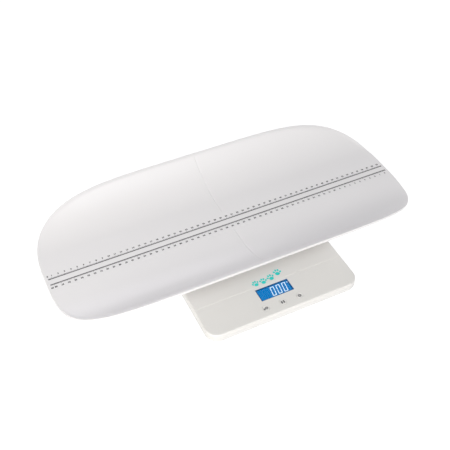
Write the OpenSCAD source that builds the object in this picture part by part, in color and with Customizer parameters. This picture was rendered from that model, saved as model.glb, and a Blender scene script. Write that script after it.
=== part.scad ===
// Low electronic scale for weighing small animals: a flat base with a display,
// and a long trough-shaped tray that lifts off it.
// X runs along the tray, -Y is the display side and +Z is up. The origin is on the
// floor, under the middle of the whole scale.

/* [Tray] */
// Length of the tray from end to end
tray_len = 602; // [580:2:620]
// Width of the tray across its raised sides
tray_w = 272; // [266:1:280]
// Half width of the tray's flat floor
tray_floor_half = 45.5; // [44:0.5:52]
// Inside radius of the raised sides
tray_side_r = 117; // [112:1:130]
// Height of the flat lip along the raised sides, above the tray's floor
tray_lip_h = 38.5; // [37:0.5:40]
// Wall thickness of the tray
tray_t = 3; // [2.5:0.5:3.5]
// Wall thickness of the band along the tray's rim
tray_rim_t = 4; // [3.5:0.5:6]
// Width of the thicker band along the tray's rim
tray_rim_w = 4; // [3:0.5:6]
// Squareness of the tray's outline at its ends
tray_end_power = 5.1; // [4.6:0.1:5.6]
// Squareness of the tray's outline along its sides
tray_side_power = 3.2; // [3:0.1:3.6]
// Width of the ruler strip on the tray's floor
ruler_w = 40; // [34:1:44]

/* [Base casing] */
// Width of the base, along the tray
base_w = 248; // [242:1:260]
// Depth of the base, from the display side to the back
base_d = 322; // [316:1:328]
// Height of the base's casing
base_h = 16; // [16:0.5:17]
// Radius of the base's corners, seen from above
base_corner_r = 20; // [16:1:24]
// Radius along the top edge of the base
base_edge_r = 2.5; // [2:0.5:3]
// Radius along the bottom edge of the base
base_under_r = 5; // [3:0.5:6]
// Height of the casing's joint line above its underside
seam_up = 8.5; // [7:0.5:9]
// Wall thickness of the casing
wall = 2; // [1.8:0.1:2.2]
// How far the base's display side stands in front of the tray's middle
front_reach = 195.5; // [192:0.5:198]
// Height of the feet below the casing
foot_h = 6; // [5.5:0.5:7]
// Clear height between the display panel and the tray's underside
tray_gap = 3; // [3:0.5:4]
// Height of the weighing platform above the display panel
platform_step = 0.4; // [0.3:0.1:0.6]

/* [Display and keys] */
// Width of the visible display
display_w = 54; // [50:1:56]
// Height of the visible display
display_d = 23; // [21:1:24]
// Distance from the base's front to the middle of the display
display_back = 40.5; // [39:0.5:42]
// Distance from the base's front to the middle of the keys
key_back = 15.3; // [15:0.1:15.6]
// Distance between neighbouring keys
key_pitch = 28; // [26:1:29]
// Diameter of the key caps
key_d = 10; // [9:0.5:10]
// How far a key travels
key_travel = 0.5; // [0.3:0.1:0.6]

/* [Weighing parts] */
// Distance from the casing's sides to the middle of a foot
foot_inset_x = 33; // [32:1:35]
// Distance from the casing's front and back to the middle of a foot
foot_inset_y = 38; // [36:1:40]
// Diameter of a foot
foot_d = 32; // [28:1:33]
// Side of the square load cells
cell_side = 34; // [32:1:34]
// Thickness of the load cells
cell_t = 2.5; // [2:0.5:2.5]

/* [Batteries] */
// Diameter of a battery
battery_d = 10.4; // [10:0.1:10.5]
// Length of a battery without its button
battery_len = 43.7; // [43:0.1:44]
// Distance from one battery to the next
battery_pitch = 11.4; // [11:0.1:12]

/* [Hidden] */
$fn = 64;
CORNERS = ["front_left", "front_right", "rear_left", "rear_right"];
SIDES = ["left", "right"];
KEYS = ["left", "middle", "right"];
CELLS = ["front", "middle", "rear"];

// Heights, from the floor up
floor_z = foot_h;
panel_z = foot_h + base_h;
platform_z = panel_z + platform_step;
tray_under_z = panel_z + tray_gap;
tray_floor_z = tray_under_z + tray_t;
skin_z = panel_z - wall;
inside_z = floor_z + wall;
seam_z = floor_z + seam_up;
seam_gap = 0.3;
lip_t = 1.4;
lip_h = 2;

// Plan positions
tray_y = (front_reach - tray_w / 2) / 2;
base_front = tray_y - front_reach;
base_y = base_front + base_d / 2;
display_y = base_front + display_back;
key_y = base_front + key_back;
platform_front = display_y + 16;
foot_x = base_w / 2 - foot_inset_x;
foot_y = base_d / 2 - foot_inset_y;

// The tray's rim and the studs under it
rim_points = 144;
stud_x = 80;
stud_y = 55;
stud_d = 10;
stud_h = 7;
shoulder_d = 20;
shoulder_h = 1;
groove_w = 0.8;
groove_depth = 0.4;
ruler_t = 0.3;

// Sockets for the studs
grommet_d = 16;
grommet_bore = stud_d + 0.8;
grommet_flange_d = 20;
grommet_top = tray_under_z - shoulder_h;
socket_depth = 6;
socket_wall = 1.6;

// Display and board, from the board up
board_w = 100;
board_t = 1.6;
board_front = key_y - 4.1;
board_d = 50;
backlight_h = 3.2;
lcd_over = 2.5;
lcd_w = display_w + 5;
lcd_d = display_d + 7;
lcd_t = 2.2;
lcd_z = skin_z - lcd_t;
board_top = lcd_z - backlight_h;
board_z = board_top - board_t;
frame_wall = 1.5;
window_gap = 0.1;
board_screw_x = 45;
board_screw_y = [board_front + 6.5, board_front + 45];
boss_d = 6;
small_screw_d = 2;
small_head_d = 4.2;
small_head_h = 1.2;
chip_side = 8;
connector_w = 6;
connector_d = 16;
connector_h = 4;
connector_y = display_y - 4;

// Keys and their switches
key_gap = 0.3;
key_flange = 0.8;
key_flange_t = 1;
switch_side = 6;
switch_h = 2;
plunger_d = 3.4;
plunger_gap = 0.06;
plunger_h = 2;
plunger_z = board_top + 0.8;
stem_d = 4;

// Load cells and feet
cell_slot = 2;
cell_tab = 11;
carrier_side = cell_side + 8;
carrier_h = 8;
ledge_z = inside_z + 3;
ledge_open = cell_side - 6;
pad_h = 2;
pad_d = foot_d - 2;
foot_gap = 2;
stem_foot_d = 9;
lead_d = 2.4;
lead_x = 60;

// Batteries, their well and its door
battery_y = base_y + 24;
well_len = battery_len + 8;
well_d = 2 * battery_pitch + battery_d + 1.4;
well_top = skin_z - 0.6;
well_wall = 1.4;
door_t = 1.6;
door_gap = 0.3;
door_over = 4;
door_len = well_len + 2 * door_over;
door_d = well_d + 2 * door_over;
door_front = battery_y - door_d / 2;
door_barrel_d = 2;
door_axis_z = floor_z + door_barrel_d / 2;
door_pin_d = 1.4;
door_pin_gap = 0.05;
door_pin_len = 2;
battery_z = floor_z + door_t + 0.4 + battery_d / 2;
contact_t = 0.5;
spring_d = 6.5;

// Screws that close the casing
case_screw_spots = [for (x = [-1, 1], y = [-0.47, 0.04, 0.9]) [x * 47, base_y + y * (base_d / 2 - 12)]];
case_boss_d = 8;
case_screw_d = 3;
case_head_d = 5.6;
case_head_h = 2;
case_boss_z = floor_z + 7;

// A rectangle with round corners, as a flat outline
module rounded_rect(w, d, r) {
    square([w - 2 * r, d], center = true);
    square([w, d - 2 * r], center = true);
    for (x = [-1, 1], y = [-1, 1]) {
        translate([x * (w / 2 - r), y * (d / 2 - r)]) circle(r);
    }
}

// Cross-section of a slab's border, with its top outer edge rounded
module border_section(r, h, e) {
    difference() {
        square([r, h]);
        translate([r - e, h - e]) difference() {
            square([e + 1, e + 1]);
            circle(e);
        }
    }
}

// A slab with round corners of radius r, height h and a top edge rounded by e
module edged_slab(w, d, r, h, e) {
    long_x = w - 2 * r;
    long_y = d - 2 * r;
    linear_extrude(h) square([long_x, long_y], center = true);
    for (turn = [0, 180]) rotate(turn) {
        translate([long_x / 2, long_y / 2, 0]) rotate_extrude(angle = 90) border_section(r, h, e);
        translate([-long_x / 2, long_y / 2, 0]) rotate(90) {
            rotate_extrude(angle = 90) border_section(r, h, e);
        }
        translate([long_x / 2, long_y / 2, 0]) rotate([90, 0, 0]) {
            linear_extrude(long_y) border_section(r, h, e);
        }
        translate([-long_x / 2, long_y / 2, 0]) rotate([90, 0, 90]) {
            linear_extrude(long_x) border_section(r, h, e);
        }
    }
}

function unit(v) = v / norm(v);

// A bend of a route, rounded from one straight run to the next
function bend(a, b, c, reach) =
    let (p = b + unit(a - b) * reach, q = b + unit(c - b) * reach)
    [for (t = [0 : 0.25 : 1]) (1 - t) * (1 - t) * p + 2 * t * (1 - t) * b + t * t * q];

function rounded_route(points, reach) = concat(
    [points[0]],
    [for (i = [1 : len(points) - 2]) each bend(points[i - 1], points[i], points[i + 1], reach)],
    [points[len(points) - 1]]
);

// One ring of a lead's surface, square to the route between its neighbours
function ring(before, at, after, r, sides) =
    let (along = unit(after - before), across = unit(cross(along, [0, 0, 1])), up = cross(across, along))
    [for (j = [0 : sides - 1]) let (a = j * 360 / sides) at + r * (cos(a) * across + sin(a) * up)];

// A lead that runs along a list of points, with round bends
module lead(points, d, reach = 2.8) {
    sides = 10;
    route = rounded_route(points, reach);
    last = len(route) - 1;
    skin = [for (i = [0 : last]) each ring(route[max(i - 1, 0)], route[i], route[min(i + 1, last)], d / 2, sides)];
    walls = [
        for (i = [0 : last - 1], j = [0 : sides - 1])
            let (a = i * sides + j, b = i * sides + (j + 1) % sides)
            each [[a, b, a + sides], [b, b + sides, a + sides]]
    ];
    start_cap = [for (j = [0 : sides - 1]) sides - 1 - j];
    end_cap = [for (j = [0 : sides - 1]) last * sides + j];
    polyhedron(skin, concat([start_cap], walls, [end_cap]));
}

function sign_power(v, p) = sign(v) * pow(abs(v), p);

// The tray's outline, inset by a margin: a square with very round corners
function tray_outline(inset) = [
    for (i = [0 : rim_points - 1])
        let (a = (i + 0.5) * 360 / rim_points)
        [
            (tray_len / 2 - inset) * sign_power(cos(a), 2 / tray_end_power),
            (tray_w / 2 - inset) * sign_power(sin(a), 2 / tray_side_power)
        ]
];

// Everything above the tray's inner surface, or above that surface lowered by depth
module above_trough(depth) {
    far = 2 * tray_side_r;
    centre_z = tray_floor_z + tray_side_r;
    translate([-tray_floor_half, tray_floor_z - depth]) square([2 * tray_floor_half, far]);
    translate([-far, tray_floor_z + tray_lip_h - depth]) square([2 * far, far]);
    for (s = [-1, 1]) {
        translate([s * tray_floor_half, centre_z]) intersection() {
            circle(tray_side_r + depth, $fn = 180);
            translate([s < 0 ? -2 * far : 0, -2 * far]) square([2 * far, 2 * far]);
        }
    }
}

// The trough's cross-section, a band between two depths under its inner surface
module trough_band(depth_a, depth_b) {
    difference() {
        above_trough(depth_b);
        above_trough(depth_a);
        translate([-tray_w, tray_floor_z + tray_side_r - 1]) square([2 * tray_w, tray_w]);
    }
}

// A flat cross-section in Y and Z, drawn out along X
module along_x(length) {
    translate([-length / 2, tray_y, 0]) rotate([90, 0, 90]) linear_extrude(length) children();
}

module tray_body() {
    intersection() {
        along_x(tray_len + 10) trough_band(0, tray_rim_t);
        translate([0, tray_y, 0]) linear_extrude(200) polygon(tray_outline(0));
    }
}

module tray() {
    color("white") {
        difference() {
            tray_body();
            intersection() {
                along_x(tray_len) trough_band(tray_t, tray_rim_t + 2);
                translate([0, tray_y, 0]) linear_extrude(200) polygon(tray_outline(tray_rim_w));
            }
            along_x(groove_w) trough_band(-1, groove_depth);
        }
        for (x = [-1, 1], y = [-1, 1]) translate([x * stud_x, tray_y + y * stud_y, 0]) {
            translate([0, 0, tray_under_z - stud_h]) cylinder(d = stud_d, h = stud_h + tray_t / 2);
            translate([0, 0, grommet_top]) cylinder(d = shoulder_d, h = shoulder_h + tray_t / 2);
        }
    }
}

module ruler_strip() {
    color("gainsboro") translate([-tray_len / 2 + 4, tray_y - ruler_w / 2, tray_floor_z]) {
        cube([tray_len - 8, ruler_w, ruler_t]);
    }
}

module socket_hole(x, y) {
    translate([x, y, platform_z - socket_depth]) cylinder(d = grommet_d, h = socket_depth + 1);
}

module base_top_cover() {
    color("ivory") difference() {
        union() {
            difference() {
                translate([0, base_y, seam_z + seam_gap]) {
                    edged_slab(base_w, base_d, base_corner_r, panel_z - seam_z - seam_gap, base_edge_r);
                }
                translate([0, base_y, 0]) linear_extrude(skin_z) {
                    rounded_rect(base_w - 2 * wall, base_d - 2 * wall, base_corner_r - wall);
                }
            }
            platform();
            for (x = [-1, 1], y = [-1, 1]) {
                translate([x * stud_x, tray_y + y * stud_y, platform_z - socket_depth - socket_wall]) {
                    cylinder(d = grommet_d + 2 * socket_wall, h = socket_depth);
                }
            }
            for (x = [-1, 1], y = board_screw_y) {
                translate([x * board_screw_x, y, board_top]) cylinder(d = boss_d, h = skin_z - board_top + 1);
            }
            for (p = case_screw_spots) {
                translate([p.x, p.y, case_boss_z]) cylinder(d = case_boss_d, h = skin_z - case_boss_z + 1);
            }
            for (x = [-1, 1], y = [-1, 1]) cell_press_ring(x * foot_x, base_y + y * foot_y);
        }
        for (x = [-1, 1], y = [-1, 1]) socket_hole(x * stud_x, tray_y + y * stud_y);
        translate([-display_w / 2, display_y - display_d / 2, skin_z - 1]) {
            cube([display_w, display_d, wall + 2]);
        }
        for (i = [-1 : 1]) {
            translate([i * key_pitch, key_y, skin_z - 1]) cylinder(d = key_d + 2 * key_gap, h = wall + 2);
        }
        for (x = [-1, 1], y = board_screw_y) {
            translate([x * board_screw_x, y, board_top - 1]) cylinder(d = small_screw_d, h = 5);
        }
        for (p = case_screw_spots) {
            translate([p.x, p.y, case_boss_z - 1]) cylinder(d = case_screw_d, h = 6.5);
        }
    }
}

// The weighing platform: a low step on the casing, behind the display panel
module platform() {
    top_w = base_w - 2 * base_edge_r;
    top_d = base_d - 2 * base_edge_r;
    translate([0, 0, panel_z - 0.5]) intersection() {
        translate([0, base_y, 0]) linear_extrude(0.5 + platform_step) {
            rounded_rect(top_w, top_d, base_corner_r - base_edge_r);
        }
        translate([-base_w, platform_front, -1]) cube([2 * base_w, base_d, 10]);
    }
}

// The ring under the casing's top that presses on a load cell's carrier
module cell_press_ring(x, y) {
    ring_z = inside_z + carrier_h;
    translate([x, y, ring_z]) difference() {
        cylinder(d = carrier_side - 4, h = skin_z - ring_z + 1);
        translate([0, 0, -1]) cylinder(d = carrier_side - 8, h = skin_z - ring_z + 1);
    }
}

module base_bottom_cover() {
    color("whitesmoke") difference() {
        union() {
            difference() {
                translate([0, base_y, seam_z]) mirror([0, 0, 1]) {
                    edged_slab(base_w, base_d, base_corner_r, seam_up, base_under_r);
                }
                translate([0, base_y, inside_z]) linear_extrude(10) casing_outline(wall + seam_gap + lip_t);
            }
            bottom_lip();
            battery_well_walls();
            for (p = case_screw_spots) {
                translate([p.x, p.y, inside_z - 0.5]) cylinder(d = case_boss_d, h = case_boss_z - inside_z + 0.5);
            }
            for (x = [-1, 1], y = [-1, 1]) carrier_wall(x * foot_x, base_y + y * foot_y);
            floor_ribs();
        }
        for (x = [-1, 1], y = [-1, 1]) {
            translate([x * foot_x, base_y + y * foot_y, 0]) cylinder(d = foot_d + foot_gap, h = inside_z + 1);
        }
        for (p = case_screw_spots) {
            translate([p.x, p.y, 0]) cylinder(d = case_screw_d + 0.4, h = 20);
            translate([p.x, p.y, 0]) cylinder(d = case_head_d + 0.6, h = case_boss_z - 3);
        }
        battery_space();
    }
}

// The casing's outline, inset by a margin
module casing_outline(inset) {
    rounded_rect(base_w - 2 * inset, base_d - 2 * inset, base_corner_r - inset);
}

// The lip that keys the bottom cover into the top cover
module bottom_lip() {
    outer = wall + seam_gap;
    translate([0, base_y, inside_z - 0.5]) linear_extrude(seam_z + lip_h - inside_z + 0.5) {
        difference() {
            casing_outline(outer);
            casing_outline(outer + lip_t);
        }
    }
}

// Low walls that hold a load cell's carrier
module carrier_wall(x, y) {
    side = carrier_side + 0.4;
    translate([x, y, inside_z - 0.5]) linear_extrude(3.5) difference() {
        square(side + 3, center = true);
        square(side, center = true);
        square([side + 4, 12], center = true);
        square([24, side + 4], center = true);
    }
}

// Stiffening ribs on the bottom cover's floor, clear of the board and the battery well
module floor_ribs() {
    rib_t = 1.4;
    rib_h = 4;
    well_front = battery_y - well_d / 2 - 8;
    well_rear = battery_y + well_d / 2 + 8;
    rib_front = board_front + board_d + 4;
    rib_rear = base_y + base_d / 2 - 12;
    translate([0, 0, inside_z - 0.5]) {
        for (x = [-36, -12, 12, 36]) {
            translate([x - rib_t / 2, rib_front, 0]) cube([rib_t, well_front - rib_front, rib_h + 0.5]);
            translate([x - rib_t / 2, well_rear, 0]) cube([rib_t, rib_rear - well_rear, rib_h + 0.5]);
        }
        for (y = [(rib_front + well_front) / 2, (well_rear + rib_rear) / 2]) {
            translate([-40, y - rib_t / 2, 0]) cube([80, rib_t, rib_h + 0.5]);
        }
    }
}

// The walls and ceiling of the battery well, with a thick rim for the door
module battery_well_walls() {
    translate([0, battery_y, inside_z - 0.5]) linear_extrude(well_top - inside_z + 0.5) {
        square([well_len + 2 * well_wall, well_d + 2 * well_wall], center = true);
    }
    translate([0, battery_y, inside_z - 0.5]) linear_extrude(2.5) {
        square([door_len + 9, door_d + 5], center = true);
    }
}

// What the well, its door and the door's pins leave open in the bottom cover
module battery_space() {
    translate([0, battery_y, 0]) linear_extrude(well_top - 1) square([well_len, well_d], center = true);
    translate([0, battery_y, 0]) linear_extrude(floor_z + door_t + 0.1) {
        square([door_len + 2 * door_gap, door_d + 2 * door_gap], center = true);
    }
    translate([0, door_front, door_axis_z]) {
        rotate([0, 90, 0]) {
            cylinder(d = door_barrel_d + 2 * door_gap, h = door_len + 2 * door_gap, center = true);
            cylinder(d = door_pin_d + 2 * door_pin_gap, h = door_len + 2 * door_pin_len + 1, center = true);
        }
        translate([0, 0, -door_barrel_d]) {
            cube([door_len + 2 * door_gap, door_barrel_d + 2 * door_gap, 2 * door_barrel_d], center = true);
        }
    }
}

// The clear block that fills the display opening, bonded to the glass under it
module display_window() {
    color("lightblue", 0.6) {
        display_block(display_w - 2 * window_gap, display_d - 2 * window_gap, skin_z, wall - window_gap);
    }
}

module display_block(w, d, z, h) {
    translate([-w / 2, display_y - d / 2, z]) cube([w, d, h]);
}

module lcd_glass() {
    color("royalblue") display_block(lcd_w, lcd_d, lcd_z, lcd_t);
}

module lcd_frame() {
    color("dimgray") difference() {
        display_block(lcd_w + 2 * frame_wall, lcd_d + 2 * frame_wall, board_top, skin_z - board_top);
        display_block(lcd_w, lcd_d, board_top - 1, 20);
    }
}

module contact_strip_rubber() {
    color("darkgray") translate([-display_w / 2, display_y + lcd_d / 2 - lcd_over, board_top]) {
        cube([display_w, 2, backlight_h]);
    }
}

module backlight_panel() {
    color("white") display_block(display_w, lcd_d - 2 * lcd_over - 1, board_top, backlight_h);
}

module main_board() {
    color("seagreen") difference() {
        translate([-board_w / 2, board_front, board_z]) cube([board_w, board_d, board_t]);
        for (x = [-1, 1], y = board_screw_y) {
            translate([x * board_screw_x, y, 0]) cylinder(d = small_screw_d + 0.4, h = 40);
        }
    }
}

module board_screws() {
    color("silver") for (x = [-1, 1], y = board_screw_y) translate([x * board_screw_x, y, 0]) {
        translate([0, 0, board_z]) cylinder(d = small_screw_d - 0.1, h = 5);
        translate([0, 0, board_z - small_head_h]) difference() {
            cylinder(d = small_head_d, h = small_head_h);
            cross_recess(2.4, 0.6);
        }
    }
}

module case_screws() {
    head_z = case_boss_z - 3 - case_head_h;
    color("silver") for (p = case_screw_spots) translate([p.x, p.y, 0]) {
        translate([0, 0, head_z + case_head_h]) cylinder(d = case_screw_d - 0.1, h = 7.5);
        translate([0, 0, head_z]) difference() {
            cylinder(d = case_head_d, h = case_head_h);
            cross_recess(3.4, 1);
        }
    }
}

// The cross in a screw's head, cut from below
module cross_recess(w, depth) {
    translate([0, 0, depth / 2 - 0.5]) {
        cube([w, w / 4, depth + 1], center = true);
        cube([w / 4, w, depth + 1], center = true);
    }
}

module main_chip() {
    color("black") translate([-board_screw_x + 4, display_y - chip_side / 2 + 9, board_top]) {
        cube([chip_side - 1, chip_side, 1.2]);
    }
}

module lead_connector(side) {
    x = side * (board_w / 2 - connector_w / 2);
    color("beige") translate([x - connector_w / 2, connector_y - connector_d / 2, board_top]) {
        cube([connector_w, connector_d, connector_h]);
    }
}

module key_cap(i) {
    flange_top = skin_z - 0.1;
    stem_z = plunger_z + plunger_h;
    color("whitesmoke") translate([i * key_pitch, key_y, 0]) {
        translate([0, 0, flange_top - key_flange_t]) {
            cylinder(d = key_d + 2 * key_gap + 2 * key_flange - 0.4, h = key_flange_t);
            cylinder(d = key_d, h = panel_z - flange_top + key_flange_t);
        }
        translate([0, 0, stem_z]) cylinder(d = stem_d, h = flange_top - stem_z);
    }
}

module switch_plunger(i) {
    color("black") translate([i * key_pitch, key_y, plunger_z]) cylinder(d = plunger_d, h = plunger_h);
}

module switch_body(i) {
    color("dimgray") translate([i * key_pitch, key_y, board_top]) difference() {
        translate([-switch_side / 2, -switch_side / 2, 0]) cube([switch_side, switch_side, switch_h]);
        translate([0, 0, plunger_z - board_top - key_travel - 0.1]) {
            cylinder(d = plunger_d + 2 * plunger_gap, h = switch_h);
        }
    }
}

module at_corner(i) {
    x = i % 2 == 0 ? -1 : 1;
    y = i < 2 ? -1 : 1;
    translate([x * foot_x, base_y + y * foot_y, 0]) children();
}

// A square steel cell: a frame, and a tab in its middle joined to it at one side
module load_cell(i) {
    ring = cell_side - 10;
    color("silver") at_corner(i) translate([0, 0, ledge_z]) linear_extrude(cell_t) difference() {
        rounded_rect(cell_side, cell_side, 3);
        difference() {
            square(ring, center = true);
            square(ring - 2 * cell_slot, center = true);
            translate([-3, 0]) square([6, ring]);
        }
        difference() {
            square(ring - 10, center = true);
            square(cell_tab - 1, center = true);
            translate([-3, -ring]) square([6, ring]);
        }
    }
}

module cell_carrier(i) {
    color("lightgray") at_corner(i) difference() {
        translate([0, 0, inside_z]) linear_extrude(carrier_h) rounded_rect(carrier_side, carrier_side, 4);
        translate([0, 0, ledge_z]) linear_extrude(20) rounded_rect(cell_side + 0.4, cell_side + 0.4, 3.2);
        linear_extrude(20) square(ledge_open, center = true);
    }
}

module foot(i) {
    disc_top = inside_z - 1;
    color("lightgray") at_corner(i) {
        translate([0, 0, pad_h]) cylinder(d = foot_d, h = disc_top - pad_h);
        translate([0, 0, disc_top]) cylinder(d = stem_foot_d, h = ledge_z - disc_top);
    }
}

module foot_pad(i) {
    color("gray") at_corner(i) cylinder(d = pad_d, h = pad_h);
}

// The wires of one load cell, side by side in one sleeve, lying on the casing's floor
module cell_lead(i) {
    side = i % 2 == 0 ? -1 : 1;
    front = i < 2;
    z = inside_z + lead_d / 2 + 0.4;
    cell_edge = carrier_side / 2;
    cell_x = front ? foot_x - cell_edge : foot_x - 6;
    cell_y = base_y + (front ? -foot_y : foot_y - cell_edge);
    end_y = connector_y + (front ? -5 : 0);
    start = [side * cell_x, cell_y, z + 1];
    from_cell = front
        ? [[side * (cell_x - 6), cell_y, z + 1]]
        : [[side * cell_x, cell_y - 8, z + 1], [side * lead_x, cell_y - 26, z], [side * lead_x, end_y + 12, z]];
    end = [side * board_w / 2, end_y, board_top + connector_h / 2];
    near_end = end + [side * 6, 0, 0];
    color("dimgray") lead(concat([start], from_cell, [near_end, end]), lead_d);
}

module tray_grommet(i) {
    x = i % 2 == 0 ? -1 : 1;
    y = i < 2 ? -1 : 1;
    socket_floor = platform_z - socket_depth;
    color("gray") translate([x * stud_x, tray_y + y * stud_y, 0]) difference() {
        union() {
            translate([0, 0, socket_floor]) cylinder(d = grommet_d, h = socket_depth);
            translate([0, 0, platform_z]) cylinder(d = grommet_flange_d, h = grommet_top - platform_z);
        }
        translate([0, 0, socket_floor - 1]) cylinder(d = grommet_bore, h = 20);
    }
}

// Neighbouring batteries point opposite ways
module battery(i) {
    way = i == 0 ? -1 : 1;
    y = battery_y + i * battery_pitch;
    color("slategray") translate([0, y, battery_z]) rotate([0, way * 90, 0]) {
        translate([0, 0, -battery_len / 2 - 0.4]) cylinder(d = battery_d, h = battery_len);
        translate([0, 0, battery_len / 2 - 0.4]) cylinder(d = 3.8, h = 0.8);
    }
}

// Contact plates and springs at one end of the batteries
module battery_contacts(side) {
    plate_x = well_len / 2 - contact_t;
    for (i = [-1 : 1]) {
        way = i == 0 ? -1 : 1;
        translate([0, battery_y + i * battery_pitch, battery_z]) {
            color("gold") translate([side * (plate_x + contact_t / 2), 0, 0]) {
                cube([contact_t, battery_pitch - 2, battery_d - 2], center = true);
            }
            if (way != side) contact_spring(side, plate_x);
            else contact_stud(side, plate_x);
        }
    }
    if (side < 0) contact_bridge(side, plate_x, 0.5);
    else contact_bridge(side, plate_x, -0.5);
}

// The strip that joins two neighbouring contact plates
module contact_bridge(side, plate_x, spot) {
    color("gold") translate([side * (plate_x + contact_t / 2), battery_y + spot * battery_pitch, battery_z + 2]) {
        cube([contact_t, battery_pitch, 2], center = true);
    }
}

// A spring of flat turns that presses on a battery's negative end
module contact_spring(side, plate_x) {
    reach = plate_x - battery_len / 2 - 0.4;
    turns = 4;
    pitch = reach / turns;
    color("silver") for (k = [0 : turns - 1]) {
        translate([side * (plate_x - k * pitch - pitch / 2), 0, 0]) rotate([0, 90, 0]) {
            spring_turn(spring_d - k * 0.9, pitch);
        }
    }
}

module spring_turn(d, h) {
    difference() {
        cylinder(d = d, h = h, center = true);
        cylinder(d = d - 2.6, h = h + 1, center = true);
    }
}

// The raised pip that touches a battery's positive end
module contact_stud(side, plate_x) {
    reach = plate_x - battery_len / 2 - 0.4;
    color("gold") translate([side * (plate_x - reach / 2), 0, 0]) rotate([0, 90, 0]) {
        cylinder(d = 4.4, h = reach, center = true);
    }
}

module battery_lead() {
    z = inside_z + lead_d / 2 + 0.4;
    well_x = well_len / 2 + well_wall;
    end = [board_w / 2, connector_y + 6, board_top + connector_h / 2];
    color("firebrick") lead([
        [well_x, battery_y, battery_z],
        [well_x + 8, battery_y, battery_z],
        [lead_x - 8, battery_y - 10, z],
        [lead_x - 5, battery_y - 24, z],
        [lead_x - 5, connector_y + 20, z],
        end + [6, 0, 0],
        end
    ], 1.6);
}

module battery_door() {
    color("whitesmoke") {
        difference() {
            translate([-door_len / 2, door_front, floor_z]) cube([door_len, door_d, door_t]);
            for (i = [-2 : 2]) {
                translate([i * 5 - 1, door_front + door_d - 12, floor_z - 0.5]) cube([2, 8, 1]);
            }
        }
        translate([0, door_front, door_axis_z]) rotate([0, 90, 0]) {
            cylinder(d = door_barrel_d, h = door_len, center = true);
            cylinder(d = door_pin_d, h = door_len + 2 * door_pin_len, center = true);
        }
    }
}

tray();
ruler_strip();
base_top_cover();
base_bottom_cover();
display_window();
lcd_glass();
lcd_frame();
contact_strip_rubber();
backlight_panel();
main_board();
board_screws();
case_screws();
main_chip();
for (s = [0, 1]) {
    lead_connector(2 * s - 1);
}
for (k = [0 : 2]) {
    key_cap(k - 1);
    switch_plunger(k - 1);
    switch_body(k - 1);
    battery(k - 1);
}
for (i = [0 : 3]) {
    load_cell(i);
    cell_carrier(i);
    foot(i);
    foot_pad(i);
    cell_lead(i);
    tray_grommet(i);
}
battery_door();
battery_contacts(-1);  // battery_contacts_left
battery_contacts(1);  // battery_contacts_right
battery_lead();
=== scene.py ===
import math
import bmesh
import bpy
from mathutils import Matrix, Vector


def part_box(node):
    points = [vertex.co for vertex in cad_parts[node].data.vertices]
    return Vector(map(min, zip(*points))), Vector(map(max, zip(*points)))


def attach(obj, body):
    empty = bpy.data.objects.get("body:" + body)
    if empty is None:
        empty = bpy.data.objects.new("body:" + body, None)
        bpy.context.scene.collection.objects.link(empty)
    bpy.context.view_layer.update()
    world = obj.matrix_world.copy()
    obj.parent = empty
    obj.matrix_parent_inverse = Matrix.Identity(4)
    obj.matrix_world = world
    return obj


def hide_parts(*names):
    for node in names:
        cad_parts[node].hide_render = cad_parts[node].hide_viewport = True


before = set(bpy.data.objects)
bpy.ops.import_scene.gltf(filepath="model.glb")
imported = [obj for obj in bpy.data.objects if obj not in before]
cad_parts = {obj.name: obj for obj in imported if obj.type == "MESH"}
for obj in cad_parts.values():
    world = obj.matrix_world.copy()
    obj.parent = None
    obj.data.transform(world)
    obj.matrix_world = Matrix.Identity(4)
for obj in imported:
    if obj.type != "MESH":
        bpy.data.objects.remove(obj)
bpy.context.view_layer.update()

# ---------------------------------------------------------------- sizes and places, in metres
MM = 0.001
CM = 10 * MM
CORNERS = ("front_left", "front_right", "rear_left", "rear_right")
TRAY_LO, TRAY_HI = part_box("tray")
FILM_LO, FILM_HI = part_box("ruler_strip")
LCD_LO, LCD_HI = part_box("lcd_glass")
WINDOW_LO, WINDOW_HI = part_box("display_window")
TOP_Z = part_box("base_top_cover")[1].z
HALF_LEN = (TRAY_HI.x - TRAY_LO.x) / 2
HALF_W = (TRAY_HI.y - TRAY_LO.y) / 2
TRAY_Y = (TRAY_HI.y + TRAY_LO.y) / 2
FLOOR_Z = FILM_LO.z


# ---------------------------------------------------------------- mesh helpers
def link(obj):
    bpy.context.scene.collection.objects.link(obj)
    return obj


def bm_object(name, bm, sharp=35):
    """A smooth-shaded object from a bmesh, with edges over the sharp angle kept crisp."""
    bmesh.ops.recalc_face_normals(bm, faces=bm.faces)
    mesh = bpy.data.meshes.new(name)
    bm.to_mesh(mesh)
    bm.free()
    for face in mesh.polygons:
        face.use_smooth = True
    mesh.set_sharp_from_angle(angle=math.radians(sharp))
    return link(bpy.data.objects.new(name, mesh))


def add_piece(name, bm, materials, body, replaced=(), sharp=35):
    """A new piece with its materials, its body, and the CAD nodes that it stands for."""
    piece = bm_object(name, bm, sharp)
    for material in materials:
        piece.data.materials.append(material)
    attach(piece, body)
    if replaced:
        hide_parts(*replaced)


def skin_into(bm, rings):
    """Adds a skin through rings of points to a bmesh. All the rings have the same number of points."""
    rows = [[bm.verts.new(point) for point in ring] for ring in rings]
    for low, high in zip(rows, rows[1:]):
        for k in range(len(low)):
            n = (k + 1) % len(low)
            bm.faces.new((low[k], low[n], high[n], high[k]))
    return rows


def solid_into(bm, rings):
    """Adds a skin through rings of points with a face at each end, and returns its vertices."""
    rows = skin_into(bm, rings)
    bm.faces.new(list(reversed(rows[0])))
    bm.faces.new(rows[-1])
    return [vert for row in rows for vert in row]


def lathe(bm, profile, centre, segments=64):
    """Adds a solid of revolution about Z. The profile is a list of (radius, z) from the bottom up."""
    angles = [2 * math.pi * k / segments for k in range(segments)]
    rings = []
    for r, z in profile:
        rings.append([(centre[0] + r * math.cos(a), centre[1] + r * math.sin(a), z) for a in angles])
    return solid_into(bm, rings)


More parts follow.
